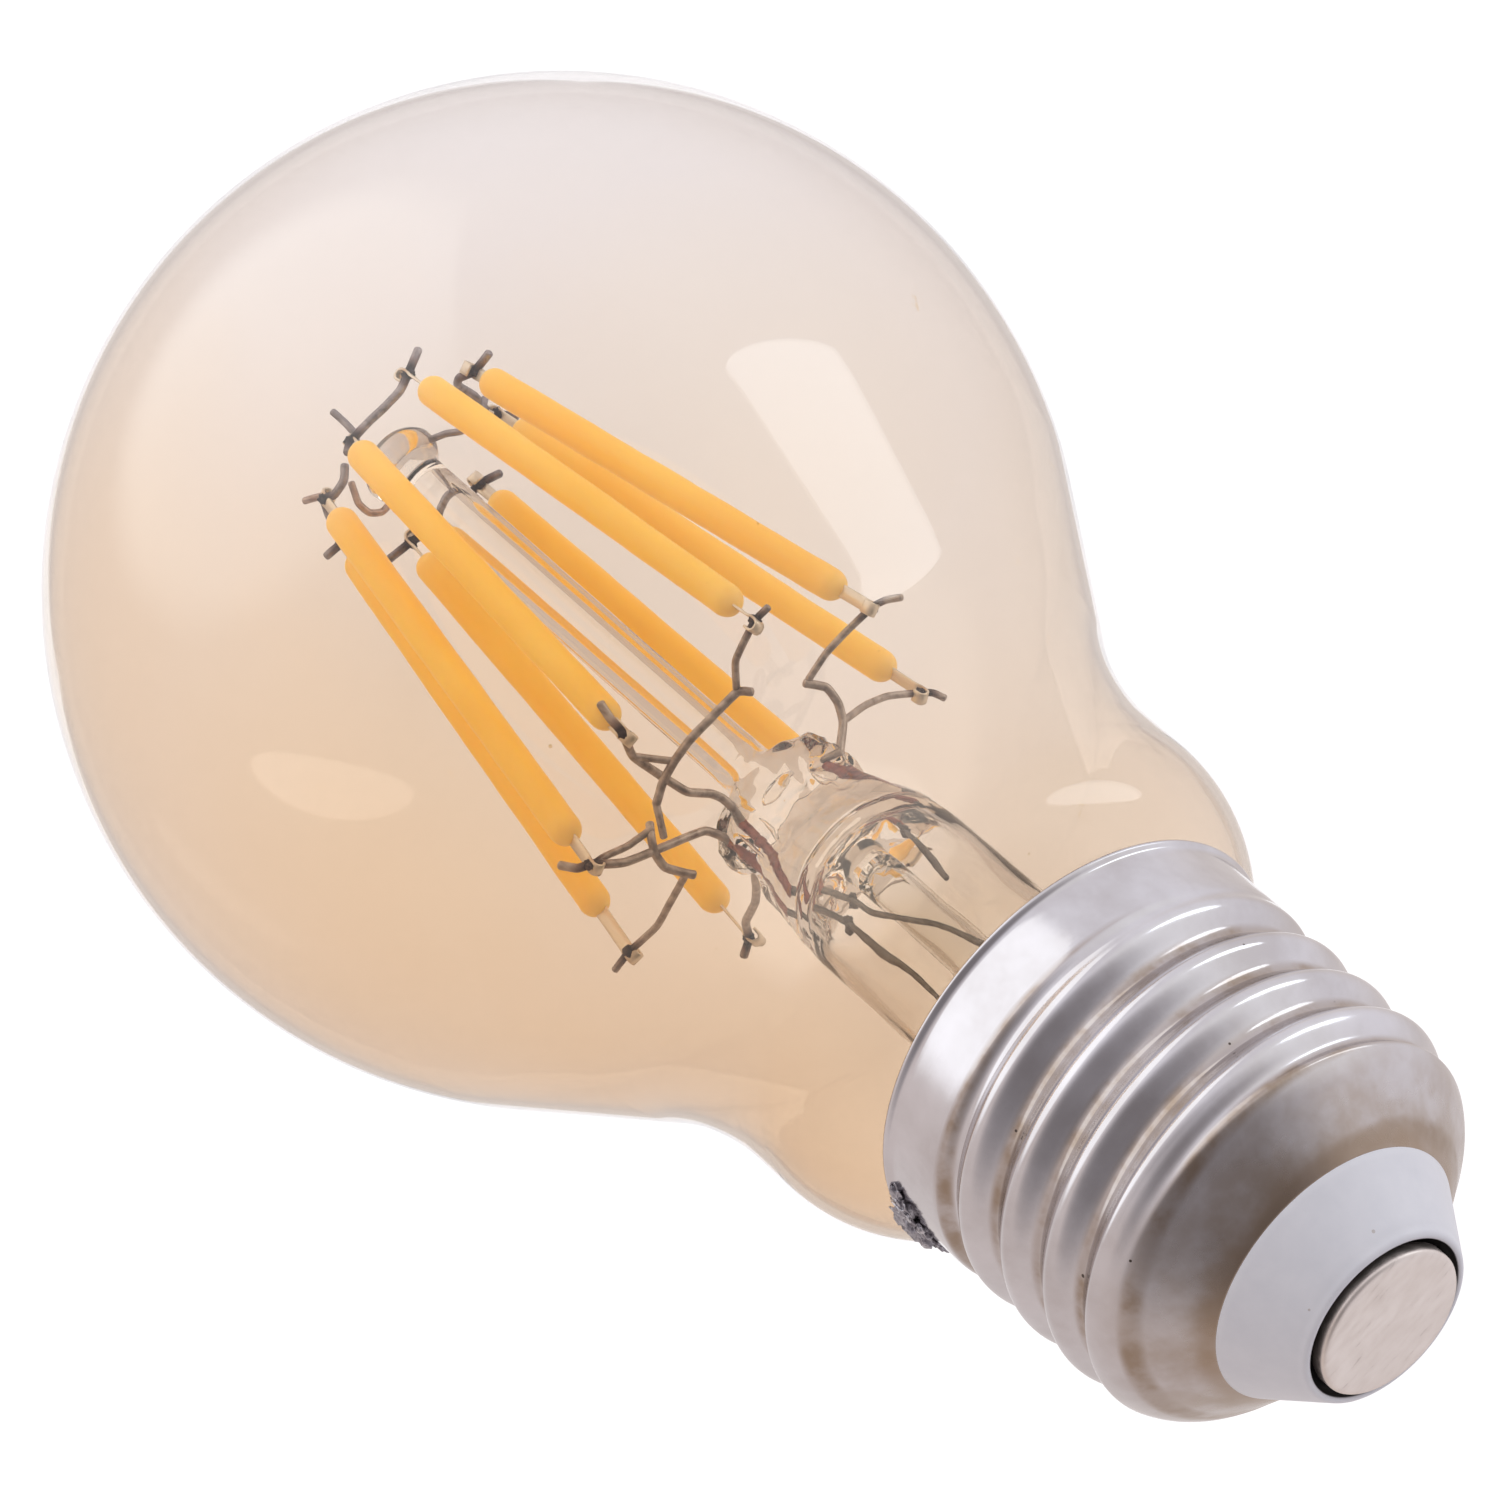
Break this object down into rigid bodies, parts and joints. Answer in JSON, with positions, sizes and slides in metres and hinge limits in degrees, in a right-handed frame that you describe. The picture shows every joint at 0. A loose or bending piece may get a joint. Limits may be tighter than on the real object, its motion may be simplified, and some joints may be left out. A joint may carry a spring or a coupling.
{
  "type": "smart filament light bulb",
  "caption": "Clear glass pear-shaped filament lamp on an Edison screw cap, with upright filaments on a glass stem and a wireless driver inside the cap.",
  "frame": {"origin": "centre of the end contact's face", "axes": "+Z along the bulb's axis from the glass crown to the end contact, so the bulb hangs below the origin; +X passes through the solder spot on the cap's rim; +Y completes a right-handed frame"},
  "size_m": [0.06, 0.06, 0.104],
  "materials": {
    "envelope_glass": "clear amber-tinted glass, polished",
    "stem_glass": "clear fire-polished glass",
    "phosphor": "translucent yellow phosphor silicone",
    "strip_metal": "pale plated metal strip",
    "support_wire": "grey-brown nickel wire",
    "lead_wire": "grey-brown nickel wire with burnt welds",
    "seal_copper": "copper-clad seal wire under glass",
    "tinned_wire": "tinned wire",
    "nickel_shell": "bright nickel plate on thin rolled sheet",
    "insulator": "matte pale insulator",
    "contact_metal": "dull stamped metal",
    "solder": "dull solder blob",
    "cement": "basing cement",
    "board_laminate": "green solder mask",
    "module_laminate": "dark blue solder mask",
    "tin_can": "tinned shield can",
    "capacitor_sleeve": "shrink sleeve",
    "film_case": "moulded case",
    "ferrite": "ferrite and lacquer",
    "chip_plastic": "moulded chip package",
    "resistor_coat": "lacquer coat",
    "sleeve_film": "white insulating film"
  },
  "bodies": {
    "root": {"glass_envelope": "envelope_glass", "stem_tube": "stem_glass", "exhaust_tube": "stem_glass", "centre_rod": "stem_glass", "filament_1": "phosphor", "filament_2": "phosphor", "filament_3": "phosphor", "filament_4": "phosphor", "filament_5": "phosphor", "filament_6": "phosphor", "filament_7": "phosphor", "filament_8": "phosphor", "filament_strip_1": "strip_metal", "filament_strip_2": "strip_metal", "filament_strip_3": "strip_metal", "filament_strip_4": "strip_metal", "filament_strip_5": "strip_metal", "filament_strip_6": "strip_metal", "filament_strip_7": "strip_metal", "filament_strip_8": "strip_metal", "crown_support_1": "support_wire", "crown_support_2": "support_wire", "crown_support_3": "support_wire", "crown_support_4": "support_wire", "crown_bar_1": "support_wire", "crown_bar_2": "support_wire", "crown_bar_3": "support_wire", "crown_bar_4": "support_wire", "inner_lead_1": "lead_wire", "inner_lead_2": "lead_wire", "inner_lead_3": "lead_wire", "inner_lead_4": "lead_wire", "branch_wires_1": "lead_wire", "branch_wires_2": "lead_wire", "branch_wires_3": "lead_wire", "branch_wires_4": "lead_wire", "seal_wire_1": "seal_copper", "seal_wire_2": "seal_copper", "seal_wire_3": "seal_copper", "outer_lead_1": "tinned_wire", "outer_lead_2": "tinned_wire", "outer_lead_3": "tinned_wire", "screw_shell": "nickel_shell", "cap_insulator": "insulator", "end_contact": "contact_metal", "rim_solder": "solder", "cap_cement": "cement", "driver_board": "board_laminate", "wireless_module": "module_laminate", "module_shield": "tin_can", "bulk_capacitor": "capacitor_sleeve", "film_capacitor": "film_case", "choke_coil": "ferrite", "bridge_rectifier": "chip_plastic", "driver_chips": "chip_plastic", "fuse_resistor": "resistor_coat", "contact_wire": "tinned_wire", "shell_wire": "tinned_wire", "insulating_sleeve": "sleeve_film"}
  },
  "joints": []
}
